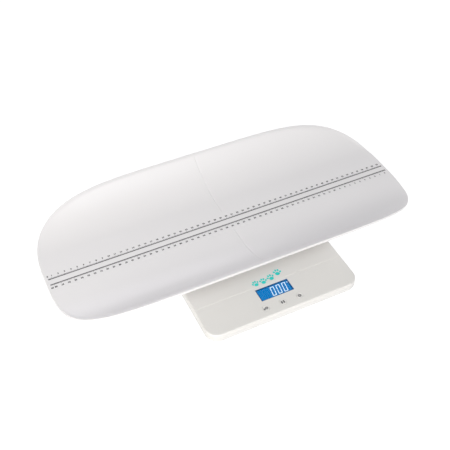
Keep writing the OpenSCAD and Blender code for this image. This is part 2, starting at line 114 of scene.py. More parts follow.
def box_into(bm, lo, hi):
    """Adds a closed box to a bmesh."""
    spots = [(x, y, z) for z in (lo[2], hi[2]) for y in (lo[1], hi[1]) for x in (lo[0], hi[0])]
    corners = [bm.verts.new(spot) for spot in spots]
    for quad in ((0, 2, 3, 1), (4, 5, 7, 6), (0, 1, 5, 4), (2, 6, 7, 3), (0, 4, 6, 2), (1, 3, 7, 5)):
        bm.faces.new([corners[i] for i in quad])


def plate_into(bm, outline, z0, z1):
    """Adds a flat plate with the outline's shape to a bmesh."""
    solid_into(bm, [[(x, y, z) for x, y in outline] for z in (z0, z1)])


def band_into(bm, inner, outer, z0, z1, closed=False):
    """Adds a flat band between two lines that have the same number of points to a bmesh."""
    rows = [[bm.verts.new((x, y, z)) for x, y in line] for line in (inner, outer) for z in (z0, z1)]
    low_in, high_in, low_out, high_out = rows
    count = len(inner)
    for k in range(count if closed else count - 1):
        n = (k + 1) % count
        bm.faces.new((high_in[k], high_in[n], high_out[n], high_out[k]))
        bm.faces.new((low_in[k], low_out[k], low_out[n], low_in[n]))
        bm.faces.new((low_in[k], low_in[n], high_in[n], high_in[k]))
        bm.faces.new((low_out[n], low_out[k], high_out[k], high_out[n]))
    if not closed:
        for k in (0, -1):
            bm.faces.new((low_in[k], high_in[k], high_out[k], low_out[k]))


def tube_into(bm, points, radius, sides=8):
    """Adds a round wire along points to a bmesh, with closed ends."""
    rings = []
    normal = None
    for i, point in enumerate(points):
        ahead = points[min(i + 1, len(points) - 1)]
        behind = points[max(i - 1, 0)]
        along = (ahead - behind).normalized()
        if normal is None:
            normal = along.orthogonal()
        normal = (normal - along * normal.dot(along)).normalized()
        side = along.cross(normal)
        angles = [2 * math.pi * k / sides for k in range(sides)]
        rings.append([point + radius * (math.cos(a) * normal + math.sin(a) * side) for a in angles])
    solid_into(bm, rings)


def arc(cx, cy, r, start, end, steps=6):
    """Points of an arc, with its angles in degrees."""
    points = []
    for i in range(steps + 1):
        a = math.radians(start + (end - start) * i / steps)
        points.append((cx + r * math.cos(a), cy + r * math.sin(a)))
    return points


def oval(cx, cy, rx, ry, turn=0, count=28):
    """Points of an ellipse that is turned by an angle in degrees."""
    t = math.radians(turn)
    points = []
    for k in range(count):
        x = rx * math.cos(2 * math.pi * k / count)
        y = ry * math.sin(2 * math.pi * k / count)
        points.append((cx + x * math.cos(t) - y * math.sin(t), cy + x * math.sin(t) + y * math.cos(t)))
    return points


def middle_of(node):
    """The middle of a CAD node's box."""
    lo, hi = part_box(node)
    return (lo + hi) / 2


# ---------------------------------------------------------------- materials
class Paint:
    """One node material, built up step by step."""

    def __init__(self, name, colour, roughness=0.4, **sockets):
        self.material = bpy.data.materials.new(name)
        self.material.use_nodes = True
        self.tree = self.material.node_tree
        self.shader = self.tree.nodes["Principled BSDF"]
        self.coords = self.tree.nodes.new("ShaderNodeTexCoord").outputs["Object"]
        self.colour = colour
        self.roughness = roughness
        self.shader.inputs["Base Color"].default_value = (*colour, 1)
        self.shader.inputs["Roughness"].default_value = roughness
        for socket, value in sockets.items():
            self.shader.inputs[socket.replace("_", " ")].default_value = value

    def noise(self, scale, detail, stretch):
        """A noise texture's factor, at a scale given in waves per metre."""
        source = self.coords
        if stretch:
            mapping = self.tree.nodes.new("ShaderNodeMapping")
            mapping.inputs["Scale"].default_value = stretch
            self.tree.links.new(source, mapping.inputs["Vector"])
            source = mapping.outputs["Vector"]
        node = self.tree.nodes.new("ShaderNodeTexNoise")
        node.inputs["Scale"].default_value = scale
        node.inputs["Detail"].default_value = detail
        self.tree.links.new(source, node.inputs["Vector"])
        return node.outputs["Fac"]

    def mottle(self, amount, scale, stretch=None, socket="Base Color"):
        """Light and dark patches in the colour."""
        ramp = self.tree.nodes.new("ShaderNodeMapRange")
        ramp.inputs["To Min"].default_value = 1 - amount
        ramp.inputs["To Max"].default_value = 1 + amount
        self.tree.links.new(self.noise(scale, 2.0, stretch), ramp.inputs["Value"])
        mix = self.tree.nodes.new("ShaderNodeVectorMath")
        mix.operation = "SCALE"
        mix.inputs[0].default_value = self.colour
        self.tree.links.new(ramp.outputs["Result"], mix.inputs["Scale"])
        self.tree.links.new(mix.outputs["Vector"], self.shader.inputs[socket])
        return self

    def patchy_gloss(self, spread, scale, stretch=None):
        """Roughness that varies a little over the surface."""
        ramp = self.tree.nodes.new("ShaderNodeMapRange")
        ramp.inputs["To Min"].default_value = self.roughness - spread
        ramp.inputs["To Max"].default_value = self.roughness + spread
        self.tree.links.new(self.noise(scale, 3.0, stretch), ramp.inputs["Value"])
        self.tree.links.new(ramp.outputs["Result"], self.shader.inputs["Roughness"])
        return self

    def grain(self, depth, scale, strength, stretch=None):
        """A fine bump, with its depth in metres."""
        bump = self.tree.nodes.new("ShaderNodeBump")
        bump.inputs["Distance"].default_value = depth
        bump.inputs["Strength"].default_value = strength
        self.tree.links.new(self.noise(scale, 4.0, stretch), bump.inputs["Height"])
        self.tree.links.new(bump.outputs["Normal"], self.shader.inputs["Normal"])
        return self


def smooth_plastic(name, colour, roughness=0.32):
    paint = Paint(name, colour, roughness, IOR=1.5)
    return paint.mottle(0.012, 9).patchy_gloss(0.04, 40).grain(0.02 * MM, 1500, 0.25).material


def grained_plastic(name, colour, roughness=0.55):
    paint = Paint(name, colour, roughness, IOR=1.5)
    return paint.mottle(0.03, 60).patchy_gloss(0.06, 200).grain(0.06 * MM, 1800, 0.5).material


def rubber(name, colour):
    paint = Paint(name, colour, 0.72, IOR=1.45)
    return paint.mottle(0.06, 120).patchy_gloss(0.08, 300).grain(0.1 * MM, 1400, 0.6).material


def metal(name, colour, roughness=0.35):
    """Metal with its grain drawn out across Y."""
    brushed = (1, 12, 1)
    paint = Paint(name, colour, roughness, Metallic=1.0)
    paint.mottle(0.06, 90, brushed).patchy_gloss(0.1, 160, brushed)
    return paint.grain(0.03 * MM, 700, 0.4, brushed).material


def ink(name, colour):
    return Paint(name, colour, 0.5).mottle(0.12, 400).patchy_gloss(0.08, 600).material


def glowing(name, colour, strength, mottle=0.06):
    """A backlit surface: it shines in its own colour, and is nearly black without the light behind it."""
    paint = Paint(name, colour, 0.4, Specular_IOR_Level=0.1, Emission_Strength=strength)
    paint.mottle(mottle, 60, socket="Emission Color")
    paint.shader.inputs["Base Color"].default_value = (*(0.1 * c for c in colour), 1)
    return paint.material


def clear_plastic(name, colour):
    paint = Paint(name, colour, 0.08, IOR=1.2, Transmission_Weight=1.0, Specular_IOR_Level=0.15)
    return paint.patchy_gloss(0.03, 120).material


TRAY_WHITE = smooth_plastic("tray_white", (0.674, 0.663, 0.673), 0.34)
# The base's top cover is the same white plastic as the tray, painted a little darker and warmer as painted
# shade for the dimmer light on the base.
SHADED_BASE_WHITE = smooth_plastic("base_white", (0.636, 0.625, 0.608), 0.3)
FILM_WHITE = smooth_plastic("ruler_film", (0.674, 0.663, 0.673), 0.3)
UNDER_WHITE = grained_plastic("underside_white", (0.64, 0.635, 0.62))
KEY_WHITE = smooth_plastic("key_white", (0.66, 0.65, 0.635), 0.36)
PRINT_INK = ink("ruler_ink", (0.02, 0.02, 0.024))
KEY_INK = ink("key_symbol_ink", (0.13, 0.13, 0.135))
MARK_INK = ink("mark_ink", (0.012, 0.54, 0.5))
FOOT_RUBBER = rubber("foot_rubber", (0.16, 0.16, 0.165))
GROMMET_RUBBER = rubber("grommet_rubber", (0.22, 0.22, 0.225))
CELL_STEEL = metal("nickel_steel", (0.62, 0.62, 0.6))
CONTACT_GOLD = metal("contact_gold", (0.75, 0.58, 0.27), 0.3)
SCREW_STEEL = metal("screw_steel", (0.5, 0.5, 0.5), 0.38)
WRAPPER_DARK = smooth_plastic("battery_wrapper", (0.03, 0.035, 0.045), 0.3)
WRAPPER_BAND = smooth_plastic("battery_band", (0.42, 0.2, 0.07), 0.28)
BOARD_GREEN = smooth_plastic("board_green", (0.02, 0.16, 0.055), 0.38)
CHIP_BLACK = grained_plastic("chip_black", (0.018, 0.018, 0.02), 0.5)
IVORY = smooth_plastic("connector_ivory", (0.7, 0.66, 0.52), 0.4)
CARRIER_GREY = grained_plastic("carrier_plastic", (0.52, 0.52, 0.5))
FOOT_PLASTIC = grained_plastic("foot_plastic", (0.5, 0.5, 0.49), 0.5)
FRAME_GREY = grained_plastic("frame_grey", (0.1, 0.1, 0.105))
SWITCH_GREY = smooth_plastic("switch_grey", (0.12, 0.12, 0.125), 0.4)
PLUNGER_BLACK = smooth_plastic("plunger_black", (0.02, 0.02, 0.022), 0.4)
STRIP_RUBBER = rubber("contact_rubber", (0.3, 0.3, 0.31))
BACKLIGHT_WHITE = smooth_plastic("backlight_white", (0.75, 0.76, 0.78), 0.3)
LEAD_GREY = rubber("lead_grey", (0.12, 0.12, 0.125))
LEAD_RED = rubber("lead_red", (0.35, 0.02, 0.02))
LCD_BLUE = glowing("lcd_lit_blue", (0.002, 0.21, 0.572), 0.85)
LCD_EDGE = glowing("lcd_edge_blue", (0.002, 0.055, 0.17), 0.7)
DIGIT_LIGHT = glowing("lcd_digit_light", (0.82, 0.95, 1.0), 1.0, 0.02)
WINDOW_CLEAR = clear_plastic("window_clear", (0.93, 0.97, 1.0))

# ---------------------------------------------------------------- the tray
# The cross-section: a flat floor, and sides on an arc
FLOOR_HALF = 45.5 * MM
SIDE_R = 117 * MM
SHELL_T = 3 * MM
# The thicker band along the rim, and the rounds on its edges
RIM_T = 4 * MM
RIM_W = 4 * MM
EDGE_R = 1.3 * MM
UNDER_R = 1.0 * MM
ROUND_STEPS = 8
# The lip where the sides end: it rises a little towards the rim, and fades out where the rim comes down
LIP_RISE = 1.9 * MM
LIP_Z = TRAY_HI.z - LIP_RISE
LIP_SLOPE = 0.4
LIP_BLEND = 1.0 * MM
LIP_FADE = 30 * MM
# The squareness of the outline, at its ends and along its sides
END_POWER = 5.1
SIDE_POWER = 3.2
# The fine line across the middle
GROOVE_HALF = 0.6 * MM
GROOVE_REACH = 3 * GROOVE_HALF
GROOVE_DEPTH = 0.55 * MM
GROOVE_INSET = 5 * MM
# The rings of the inner surface: even steps over the floor and sides, and finer ones near the rim
EVEN_STEPS = 30
EVEN_INSET = 10 * MM
FINE_INSETS = [d * MM for d in (8.6, 7.4, 6.6, 6, 5.4, 4.8, 4.2, 3.5, 2.5, 1.6)]
# The studs under the tray
STUD_R = 5 * MM
STUD_END_R = 3.6 * MM
STUD_ROUND = 1.2 * MM
SHOULDER_R = 10 * MM
SHOULDER_CHAMFER = 0.4 * MM
SHOULDER_SUNK = 0.6 * MM


def tray_height(y, depth):
    """Height of the surface that lies depth under the tray's inner one, at y from its middle line."""
    over = max(abs(y) - FLOOR_HALF, 0)
    return FLOOR_Z + SIDE_R - math.sqrt((SIDE_R + depth) ** 2 - over ** 2)


def height_inset(inset, depth):
    """The inset whose height a point takes: its own on the wall, the wall's top one across the lip."""
    reach = math.sqrt((SIDE_R + depth) ** 2 - (SIDE_R + depth + FLOOR_Z - LIP_Z) ** 2)
    lip = HALF_W - FLOOR_HALF - reach
    past = inset - lip
    return lip + (past + math.sqrt(past ** 2 + LIP_BLEND ** 2)) / 2


def evenly_spaced(line, pieces):
    """Points at even spacing along a line, without its last point."""
    lengths = [0.0]
    for p, q in zip(line, line[1:]):
        lengths.append(lengths[-1] + math.dist(p, q))
    points = []
    k = 0
    for i in range(pieces):
        goal = lengths[-1] * i / pieces
        while lengths[k + 1] < goal:
            k += 1
        t = (goal - lengths[k]) / (lengths[k + 1] - lengths[k])
        p, q = line[k], line[k + 1]
        points.append((p[0] + t * (q[0] - p[0]), p[1] + t * (q[1] - p[1])))
    return points


def outline_quarter(pieces=76, fine=6000):
    """The tray's outline from its right end to the middle of its back, plus the groove's edges."""
    dense = []
    for i in range(fine + 1):
        a = math.pi / 2 * i / fine
        x = HALF_LEN * max(math.cos(a), 0) ** (2 / END_POWER)
        y = HALF_W * math.sin(a) ** (2 / SIDE_POWER)
        dense.append((x, y))
    return evenly_spaced(dense, pieces) + [(GROOVE_REACH, HALF_W), (GROOVE_HALF, HALF_W), (0.0, HALF_W)]


def tray_outline():
    """The whole outline, anticlockwise from the right end."""
    quarter = outline_quarter()
    left = [(-x, y) for x, y in reversed(quarter[:-1])]
    back = quarter + left
    return back + [(x, -y) for x, y in reversed(back[1:-1])]


def quarter_round(radius, depth, way):
    """Rings from a face of the rim round to its outermost line. The way is 1 on top and -1 below."""
    rings = []
    for i in range(ROUND_STEPS + 1):
        a = math.pi / 2 * i / ROUND_STEPS
        rings.append((radius * (1 - math.sin(a)), depth, way * radius * (1 - math.cos(a)), way > 0))
    return rings


def tray_profile():
    """Rings of (inset, depth, drop, on top), from the inner middle over the rim to the underside."""
    even = [HALF_W * (1 - i / EVEN_STEPS) for i in range(EVEN_STEPS)]
    insets = [d for d in even if d > EVEN_INSET] + FINE_INSETS
    profile = [(d, 0.0, 0.0, True) for d in insets]
    profile += quarter_round(EDGE_R, 0.0, 1)
    profile += reversed(quarter_round(UNDER_R, RIM_T, -1))
    profile += [(RIM_W - 1.6 * MM, RIM_T, 0.0, False), (RIM_W - 0.6 * MM, RIM_T, 0.0, False)]
    profile += [(RIM_W, RIM_T - 0.2 * MM, 0.0, False), (RIM_W + 0.3 * MM, SHELL_T + 0.3 * MM, 0.0, False)]
    profile += [(RIM_W + 0.9 * MM, SHELL_T, 0.0, False)]
    profile += [(d, SHELL_T, 0.0, False) for d in reversed(insets) if d > RIM_W + 1.2 * MM]
    return profile


def tray_ring(outline, inset, depth, drop, on_top):
    """One ring of the tray's skin, inset from its outline."""
    taken = height_inset(inset, depth)
    ring = []
    for x0, y0 in outline:
        at_groove = abs(x0) <= GROOVE_REACH + 1e-9
        x = x0 if at_groove else x0 * (HALF_LEN - inset) / HALF_LEN
        y = y0 * (HALF_W - inset) / HALF_W
        y_taken = y0 * (HALF_W - taken) / HALF_W
        side = min(max(abs(y_taken) - FLOOR_HALF, 0) / LIP_FADE, 1)
        z = tray_height(y_taken, depth) + LIP_SLOPE * side * (taken - inset) - drop
        if on_top and x0 == 0 and inset > GROOVE_INSET:
            z -= GROOVE_DEPTH
        ring.append((x, TRAY_Y + y, z))
    return ring


def build_tray():
    outline = tray_outline()
    bm = bmesh.new()
    skin_into(bm, [tray_ring(outline, *ring) for ring in tray_profile()])
    bmesh.ops.remove_doubles(bm, verts=bm.verts, dist=0.02 * MM)
    add_piece("tray_shell", bm, [TRAY_WHITE], "tray", ["tray"], 50)


def build_tray_studs():
    """The four studs under the tray, each with a shoulder that sits on its grommet."""
    low = TRAY_LO.z
    shoulder_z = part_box("tray_grommet_front_left")[1].z
    under_z = FLOOR_Z - SHELL_T
    profile = [(STUD_END_R, low)]
    profile += arc(STUD_R - STUD_ROUND, low + STUD_ROUND, STUD_ROUND, -90, 0)
    profile += [(STUD_R, shoulder_z), (SHOULDER_R - SHOULDER_CHAMFER, shoulder_z)]
    profile += [(SHOULDER_R, shoulder_z + SHOULDER_CHAMFER)]
    profile += [(SHOULDER_R, under_z - 0.1 * MM), (SHOULDER_R, under_z + SHOULDER_SUNK)]
    bm = bmesh.new()
    for corner in CORNERS:
        lathe(bm, profile, middle_of("tray_grommet_" + corner))
    add_piece("tray_studs", bm, [TRAY_WHITE], "tray")


# ---------------------------------------------------------------- the ruler on the tray
RULER_Y = TRAY_Y - 1.3 * MM
FILM_TOP = FILM_LO.z + 0.14 * MM
FILM_CORNER = 3 * MM
PRINT_H = 0.03 * MM
LAST_TICK = 296
TICK_INNER = 6.0 * MM
TICK_W = 0.44 * MM
TICK_LEN = 1.4 * MM
TICK_LEN_FIVE = 1.9 * MM
TICK_LEN_TEN = 2.5 * MM
BASE_LINE_W = 1.25 * MM
NUMBERS = 60
NUMBER_Y = 11.9 * MM
NUMBER_H = 2.75 * MM
NUMBER_BOLD = 0.08
FONT_PER_HEIGHT = 1.42
# Where each row's zero would stand, and how far left a number may stand
FAR_ZERO = -299 * MM
FAR_LEFT = -295.4 * MM
NEAR_ZERO = 291 * MM
NEAR_LEFT = -294.6 * MM


def build_film():
    half_x, half_y = (FILM_HI.x - FILM_LO.x) / 2, (FILM_HI.y - FILM_LO.y) / 2
    outline = []
    for sx, sy, start in ((1, -1, -90), (1, 1, 0), (-1, 1, 90), (-1, -1, 180)):
        for x, y in arc(0, 0, FILM_CORNER, start, start + 90, 8):
            outline.append((sx * (half_x - FILM_CORNER) + x, TRAY_Y + sy * (half_y - FILM_CORNER) + y))
    bm = bmesh.new()
    plate_into(bm, outline, FILM_LO.z, FILM_TOP)
    add_piece("ruler_film", bm, [FILM_WHITE], "tray", ["ruler_strip"])


def tick_length(k):
    if k % 10 == 0:
        return TICK_LEN_TEN
    return TICK_LEN_FIVE if k % 5 == 0 else TICK_LEN


def print_strip(bm, x0, x1, side, near, far):
    """Adds a printed bar on one side of the ruler's middle, from near to far."""
    y0, y1 = sorted((RULER_Y + side * near, RULER_Y + side * far))
    box_into(bm, (x0, y0, FILM_TOP), (x1, y1, FILM_TOP + PRINT_H))


def build_ticks():
    """A millimetre scale on each side of a plain band, every fifth and tenth tick longer."""
    bm = bmesh.new()
    end = LAST_TICK * MM
    for side in (-1, 1):
        print_strip(bm, -end, end, side, TICK_INNER - BASE_LINE_W, TICK_INNER)
        for k in range(-LAST_TICK, LAST_TICK + 1):
            x = k * MM
            print_strip(bm, x - TICK_W / 2, x + TICK_W / 2, side, TICK_INNER, TICK_INNER + tick_length(k))
    add_piece("ruler_ticks", bm, [PRINT_INK], "tray")


def number_mesh(text, height):
    """The mesh of a short number in the built-in font, centred on the origin and facing up."""
    curve = bpy.data.curves.new("number", "FONT")
    curve.body = text
    curve.size = height * FONT_PER_HEIGHT
    curve.align_x = "CENTER"
    curve.align_y = "CENTER"
    curve.resolution_u = 2
    curve.extrude = PRINT_H / 2
    curve.offset = height * NUMBER_BOLD
    holder = link(bpy.data.objects.new("number", curve))
    bpy.context.view_layer.update()
    mesh = bpy.data.meshes.new_from_object(holder.evaluated_get(bpy.context.evaluated_depsgraph_get()))
    bpy.data.objects.remove(holder)
    bpy.data.curves.remove(curve)
    return mesh


def build_numbers():
    """Centimetre numbers: the far row reads from the front, and the near row from behind."""
    bm = bmesh.new()
    z = FILM_TOP + PRINT_H / 2
    for n in range(NUMBERS):
        mesh = number_mesh(str(n), NUMBER_H)
        far = Matrix.Translation((max(FAR_ZERO + n * CM, FAR_LEFT), RULER_Y + NUMBER_Y, z))
        near = Matrix.Translation((max(NEAR_ZERO - n * CM, NEAR_LEFT), RULER_Y - NUMBER_Y, z))
        for place in (far, near @ Matrix.Rotation(math.pi, 4, "Z")):
            copy = mesh.copy()
            copy.transform(place)
            bm.from_mesh(copy)
            bpy.data.meshes.remove(copy)
        bpy.data.meshes.remove(mesh)
    bmesh.ops.remove_doubles(bm, verts=bm.verts, dist=1e-7)
    add_piece("ruler_numbers", bm, [PRINT_INK], "tray")


# ---------------------------------------------------------------- the display
ZERO = "abcdef"
DIGITS = 3
DIGIT_W = 6.2 * MM
DIGIT_H = 16.6 * MM
DIGIT_STROKE = 1.15 * MM
DIGIT_SLANT = 0.13
DIGIT_PITCH = 9.6 * MM
DIGIT_LEFT = 20.5 * MM
DIGIT_LOW = 2.9 * MM
BAR_GAP = 0.08 * MM
BAR_MIDDLE_GAP = 0.35 * MM
# The two small bars at the upper right
UNIT_W = 2.2 * MM
UNIT_H = 0.6 * MM
UNIT_PITCH = 1.2 * MM
UNIT_FROM_RIGHT = 3.6 * MM
UNIT_FROM_TOP = 5.8 * MM
LIT_UP = 0.02 * MM
LIT_H = 0.04 * MM
MARGIN_W = 1.5 * MM
MARGIN_H = 0.03 * MM
MARGIN_INSET = 0.2 * MM
WINDOW_LIFT = 0.08 * MM
WINDOW_ROUND = 0.25 * MM


def build_lcd():
    bm = bmesh.new()
    box_into(bm, LCD_LO, LCD_HI)
    add_piece("lcd_screen", bm, [LCD_BLUE], "base", ["lcd_glass"])


def build_lcd_edge():
    """The darker unlit margin round the display's lit field."""
    bm = bmesh.new()
    x0, y0 = WINDOW_LO.x + MARGIN_INSET, WINDOW_LO.y + MARGIN_INSET
    x1, y1 = WINDOW_HI.x - MARGIN_INSET, WINDOW_HI.y - MARGIN_INSET
    low, top = LCD_HI.z, LCD_HI.z + MARGIN_H
    box_into(bm, (x0, y0, low), (x1, y0 + MARGIN_W, top))
    box_into(bm, (x0, y1 - MARGIN_W, low), (x1, y1, top))
    box_into(bm, (x0, y0 + MARGIN_W, low), (x0 + MARGIN_W, y1 - MARGIN_W, top))
    box_into(bm, (x1 - MARGIN_W, y0 + MARGIN_W, low), (x1, y1 - MARGIN_W, top))
    add_piece("lcd_margin", bm, [LCD_EDGE], "base")


def segment_outline(name):
    """One bar of a seven-segment digit, from the digit's lower left corner, mitred at its corners."""
    w, h, t = DIGIT_W, DIGIT_H, DIGIT_STROKE
    gap = BAR_GAP
    if name in "ad":
        outer, inner = (h, h - t) if name == "a" else (0, t)
        return [(gap, outer), (w - gap, outer), (w - t - gap, inner), (t + gap, inner)]
    outer, inner = (0, t) if name in "ef" else (w, w - t)
    middle = h / 2 + (BAR_MIDDLE_GAP if name in "bf" else -BAR_MIDDLE_GAP)
    end, end_in = (h - gap, h - t - gap) if name in "bf" else (gap, t + gap)
    return [(outer, end), (inner, end_in), (inner, middle), (outer, middle)]


def build_digits():
    """Three zeros in seven-segment bars, and two small lit bars at the upper right."""
    bm = bmesh.new()
    low = LCD_HI.z + LIT_UP
    left_x, low_y = WINDOW_LO.x + DIGIT_LEFT, WINDOW_LO.y + DIGIT_LOW
    for k in range(DIGITS):
        for name in ZERO:
            bar = segment_outline(name)
            points = [(left_x + k * DIGIT_PITCH + x + DIGIT_SLANT * y, low_y + y) for x, y in bar]
            plate_into(bm, points, low, low + LIT_H)
    unit_x = WINDOW_HI.x - UNIT_FROM_RIGHT
    for k in range(2):
        y = WINDOW_HI.y - UNIT_FROM_TOP + k * UNIT_PITCH
        box_into(bm, (unit_x, y, low), (unit_x + UNIT_W, y + UNIT_H, low + LIT_H))
    add_piece("lcd_digits", bm, [DIGIT_LIGHT], "base")


def build_window():
    """The clear block over the display, with a fine round along its top edges."""
    bm = bmesh.new()
    box_into(bm, (WINDOW_LO.x, WINDOW_LO.y, WINDOW_LO.z + WINDOW_LIFT), WINDOW_HI)
    top_edges = [e for e in bm.edges if min(v.co.z for v in e.verts) > WINDOW_HI.z - MM]
    bmesh.ops.bevel(bm, geom=top_edges, offset=WINDOW_ROUND, segments=3, profile=0.5, affect="EDGES")
    add_piece("display_window_clear", bm, [WINDOW_CLEAR], "base", ["display_window"], 25)


# ---------------------------------------------------------------- the keys and the mark
KEY_R = 5.0 * MM
KEY_EDGE_R = 0.45 * MM
KEY_FLANGE_R = 5.9 * MM
KEY_FLANGE_T = 1.0 * MM
KEY_FLANGE_DOWN = 2.1 * MM
KEY_STEM_R = 2.0 * MM
KEY_CROWN = 0.35 * MM
KEY_DISH = 0.35 * MM
DISH_R = 3.9 * MM
DISH_STEPS = 6
INK_H = 0.03 * MM


def build_key(name):
    """A round key with a flange, a rounded edge and a shallow dish. Returns the middle of its dish."""
    node = "key_cap_" + name
    lo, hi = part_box(node)
    flange_top = hi.z - KEY_FLANGE_DOWN
    flange_low = flange_top - KEY_FLANGE_T
    top = hi.z + KEY_CROWN
    flat_r = KEY_R - KEY_EDGE_R
    profile = [(KEY_STEM_R, lo.z), (KEY_STEM_R, flange_low), (KEY_FLANGE_R, flange_low)]
    profile += [(KEY_FLANGE_R, flange_top), (KEY_R, flange_top)]
    profile += arc(flat_r, top - KEY_EDGE_R, KEY_EDGE_R, 0, 90)
    for i in range(1, DISH_STEPS + 1):
        t = i / DISH_STEPS
        dip = KEY_DISH * (0.5 - 0.5 * math.cos(math.pi * t))
        profile.append((flat_r + t * (DISH_R - flat_r), top - dip))
    bm = bmesh.new()
    centre = middle_of(node)
    lathe(bm, profile, centre)
    add_piece("key_top_" + name, bm, [KEY_WHITE], "key_" + name, [node], 50)
    return centre.x, centre.y, top - KEY_DISH


def symbol_into(bm, name, x, y, z0, z1):
    """Adds a key's symbol: a disc and a ringed dot, two ovals, or a power sign."""
    if name == "left":
        ring_x, ring_y = x + 1.4 * MM, y + 0.4 * MM
        plate_into(bm, oval(x - 2.6 * MM, y - 0.9 * MM, 1.6 * MM, 1.6 * MM), z0, z1)
        inner, outer = [oval(ring_x, ring_y, r * MM, r * MM) for r in (1.3, 2.5)]
        band_into(bm, inner, outer, z0, z1, closed=True)
        plate_into(bm, oval(ring_x, ring_y, 0.8 * MM, 0.8 * MM), z0, z1)
    elif name == "middle":
        for side in (-1, 1):
            plate_into(bm, oval(x + side * 1.7 * MM, y, 1.3 * MM, 2.9 * MM), z0, z1)
    else:
        inner, outer = [arc(x, y, r * MM, 125, 415, 28) for r in (1.2, 2.8)]
        band_into(bm, inner, outer, z0, z1)
        box_into(bm, (x - 0.65 * MM, y - 0.4 * MM, z0), (x + 0.65 * MM, y + 3.1 * MM, z1))


def build_keys():
    """The three keys, each with a plain grey symbol in its dish."""
    for name in ("left", "middle", "right"):
        x, y, z = build_key(name)
        bm = bmesh.new()
        symbol_into(bm, name, x, y, z, z + INK_H)
        add_piece("key_symbol_" + name, bm, [KEY_INK], "key_" + name)


# A paw print of size 1: the middle, the half widths and the turn in degrees of each pad
PAW_PADS = ((0, -0.17, 0.29, 0.24, 0), (-0.38, 0.1, 0.115, 0.16, 22), (-0.14, 0.33, 0.12, 0.17, 6),
            (0.14, 0.33, 0.12, 0.17, -6), (0.38, 0.1, 0.115, 0.16, -22))
# The trail: the place and the size of each print in millimetres, and its turn in degrees
PAW_TRAIL = ((-20, 0.6, 11.5, 12), (-7.5, 0.2, 12, -8), (6, 2, 12.5, 10), (19.5, 6.5, 13, -14))
TRAIL_BACK = 10 * MM


def build_mark():
    """A plain turquoise trail of four paw prints behind the display."""
    bm = bmesh.new()
    front = WINDOW_HI.y + TRAIL_BACK
    for x, y, width, turn in PAW_TRAIL:
        t = math.radians(turn)
        size = width * MM
        for px, py, rx, ry, lean in PAW_PADS:
            cx = x * MM + size * (px * math.cos(t) - py * math.sin(t))
            cy = front + y * MM + size * (px * math.sin(t) + py * math.cos(t))
            plate_into(bm, oval(cx, cy, rx * size, ry * size, turn + lean), TOP_Z, TOP_Z + INK_H)
    add_piece("paw_mark", bm, [MARK_INK], "base")


# ---------------------------------------------------------------- the foot pads
PAD_GROOVES = (4.6 * MM, 8.2 * MM, 11.8 * MM)
PAD_GROOVE_DEPTH = 0.5 * MM
PAD_GROOVE_HALF = 0.5 * MM
PAD_GROOVE_FLOOR_HALF = 0.25 * MM
PAD_DIMPLE_R = 1.9 * MM
PAD_DIMPLE_FLOOR_R = 1.4 * MM
PAD_LOW_R = 0.6 * MM
PAD_TOP_R = 0.3 * MM


def build_foot_pads():
    """Rubber pads with a round edge, and a dimple and three grooves in the face on the floor."""
    bm = bmesh.new()
    for corner in CORNERS:
        lo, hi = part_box("foot_pad_" + corner)
        outer = (hi.x - lo.x) / 2
        profile = [(PAD_DIMPLE_FLOOR_R, PAD_GROOVE_DEPTH), (PAD_DIMPLE_R, 0)]
        for r in PAD_GROOVES:
            profile += [(r - PAD_GROOVE_HALF, 0), (r - PAD_GROOVE_FLOOR_HALF, PAD_GROOVE_DEPTH)]
            profile += [(r + PAD_GROOVE_FLOOR_HALF, PAD_GROOVE_DEPTH), (r + PAD_GROOVE_HALF, 0)]
        profile += arc(outer - PAD_LOW_R, PAD_LOW_R, PAD_LOW_R, -90, 0, 5)
        profile += arc(outer - PAD_TOP_R, hi.z - PAD_TOP_R, PAD_TOP_R, 0, 90, 4)
        lathe(bm, profile, (lo + hi) / 2, 72)
    pads = ["foot_pad_" + corner for corner in CORNERS]
    add_piece("foot_pads", bm, [FOOT_RUBBER], "base", pads, 25)


# ---------------------------------------------------------------- the batteries and their contacts
# Each battery's name, and 1 where its positive end points to +X
BATTERIES = (("front", 1), ("middle", -1), ("rear", 1))
WRAPPER_CURL = 0.6 * MM
WRAPPER_END = 0.12 * MM
WRAPPER_TOP = 1.5 * MM
WRAPPER_SHARE = 0.86
BAND_SHARE = 0.28
MINUS_R = 3.4 * MM
MINUS_EDGE_R = 3.8 * MM
PLUS_R = 1.9 * MM
PLUS_ROUND = 0.2 * MM
PLATE_T = 0.5 * MM
PLATE_HALF_H = 4.2 * MM
PLATE_GAP = 2 * MM
BRIDGE_UP = 2 * MM
BRIDGE_HALF_H = 1 * MM
WIRE_R = 0.32 * MM
SPRING_TURNS = 4
SPRING_STEPS = 96
SPRING_R = 2.9 * MM
SPRING_END_R = 1.7 * MM
PIP_R = 2.2 * MM
PIP_ROUND = 0.8 * MM
PIP_CONE = 1.2 * MM


def battery_profile(r, length):
    """A battery's outline from its flat negative end, over the wrapper, to its raised positive end."""
    curl_x = r - WRAPPER_CURL
    profile = [(MINUS_R, 0), (MINUS_EDGE_R, WRAPPER_END), (curl_x, WRAPPER_END)]
    profile += arc(curl_x, WRAPPER_END + WRAPPER_CURL, WRAPPER_CURL, -90, 0, 5)
    profile += [(r, BAND_SHARE * length), (r, (BAND_SHARE + 0.001) * length)]
    profile += arc(curl_x, length - WRAPPER_TOP, WRAPPER_CURL, 0, 90, 5)
    profile += [(curl_x - 0.3 * MM, length - 1.0 * MM), (PLUS_R + 0.2 * MM, length - 0.9 * MM)]
    profile += [(PLUS_R, length - 0.7 * MM)]
    return profile + arc(PLUS_R - PLUS_ROUND, length - PLUS_ROUND, PLUS_ROUND, 0, 90, 3)


